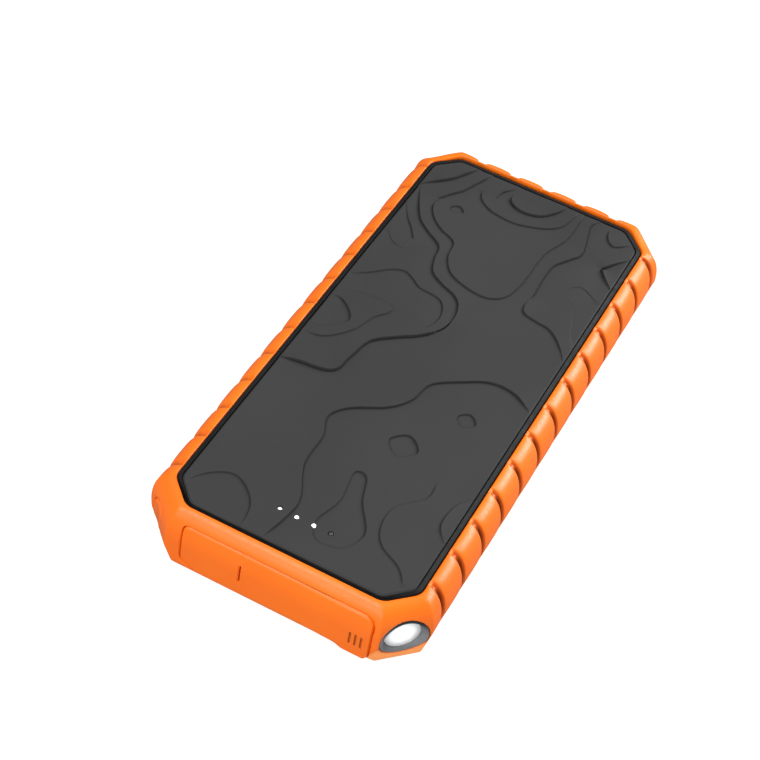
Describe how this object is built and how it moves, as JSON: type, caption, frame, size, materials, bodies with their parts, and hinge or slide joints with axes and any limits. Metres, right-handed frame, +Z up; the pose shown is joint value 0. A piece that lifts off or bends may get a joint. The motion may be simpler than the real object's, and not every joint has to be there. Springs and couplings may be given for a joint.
{
  "type": "power bank",
  "caption": "Rubber-clad power bank with a relief deck plate, charge lamps, a corner torch, a corner power button and a hinged port cover.",
  "frame": {"origin": "centre of the base, at the plane the bank rests on", "axes": "+Z up through the deck plate, -Y towards the port end, +X towards the torch's side"},
  "size_m": [0.082, 0.1752, 0.0232],
  "materials": {
    "orange_rubber": "satin, fine moulded grain",
    "black_plastic": "fine texture, satin edges",
    "grey_plate": "fine spark-eroded texture",
    "black_rubber": "matt",
    "grey_bezel": "satin",
    "clear_lens": "clear, polished",
    "mirror_coat": "metallised mirror",
    "green_board": "solder mask",
    "lamp_yellow": "phosphor under clear resin",
    "steel": "plain, plated",
    "white_plastic": "smooth moulded",
    "dark_plastic": "smooth moulded",
    "chip_black": "moulded epoxy",
    "can_aluminium": "drawn can",
    "light_pipe": "frosted, translucent",
    "pouch_foil": "laminated foil",
    "grey_foam": "open-cell foam",
    "red_wire": "silicone sleeve",
    "black_wire": "silicone sleeve"
  },
  "bodies": {
    "case": {"battery_cell_1": "pouch_foil", "battery_cell_2": "pouch_foil", "battery_lead_negative": "black_wire", "battery_lead_positive": "red_wire", "board_screw_1": "steel", "board_screw_2": "steel", "board_screw_3": "steel", "bottom_housing": "black_plastic", "bumper": "orange_rubber", "capacitor_1": "can_aluminium", "capacitor_2": "can_aluminium", "charge_controller": "chip_black", "deck_plate": "grey_plate", "foam_pad": "grey_foam", "housing_screw_1": "steel", "housing_screw_2": "steel", "housing_screw_3": "steel", "housing_screw_4": "steel", "housing_seal": "black_rubber", "indicator_led_1": "lamp_yellow", "indicator_led_2": "lamp_yellow", "indicator_led_3": "lamp_yellow", "indicator_led_4": "lamp_yellow", "light_pipe_1": "light_pipe", "light_pipe_2": "light_pipe", "light_pipe_3": "light_pipe", "light_pipe_4": "light_pipe", "main_board": "green_board", "output_controller": "chip_black", "port_cover_anchor": "orange_rubber", "port_plate": "black_plastic", "power_inductor": "chip_black", "switch_body": "dark_plastic", "top_housing": "black_plastic", "torch_bezel": "grey_bezel", "torch_board": "green_board", "torch_led": "lamp_yellow", "torch_lens": "clear_lens", "torch_reflector": "mirror_coat", "usb_a_insulator": "white_plastic", "usb_a_shell": "steel", "usb_c_insulator": "dark_plastic", "usb_c_shell": "steel"},
    "port_cover": {"port_cover": "orange_rubber"},
    "power_button": {"power_button": "orange_rubber"},
    "switch_plunger": {"switch_plunger": "white_plastic"}
  },
  "joints": [
    {"name": "port_cover_fold", "type": "hinge", "parent": "case", "child": "port_cover", "pos_m": [-0.009, -0.0876, 0.0122], "axis": [0, 0, -1], "range_deg": [0, 115]},
    {"name": "power_button_press", "type": "slide", "parent": "case", "child": "power_button", "axis": [0.7071, 0.7071, 0], "range_m": [0, 0.0004]},
    {"name": "switch_plunger_press", "type": "slide", "parent": "case", "child": "switch_plunger", "axis": [0.7071, 0.7071, 0], "range_m": [0, 0.0004]}
  ],
  "couplings": [
    {"joint": "switch_plunger_press", "follows": "power_button_press", "ratio": 1}
  ]
}
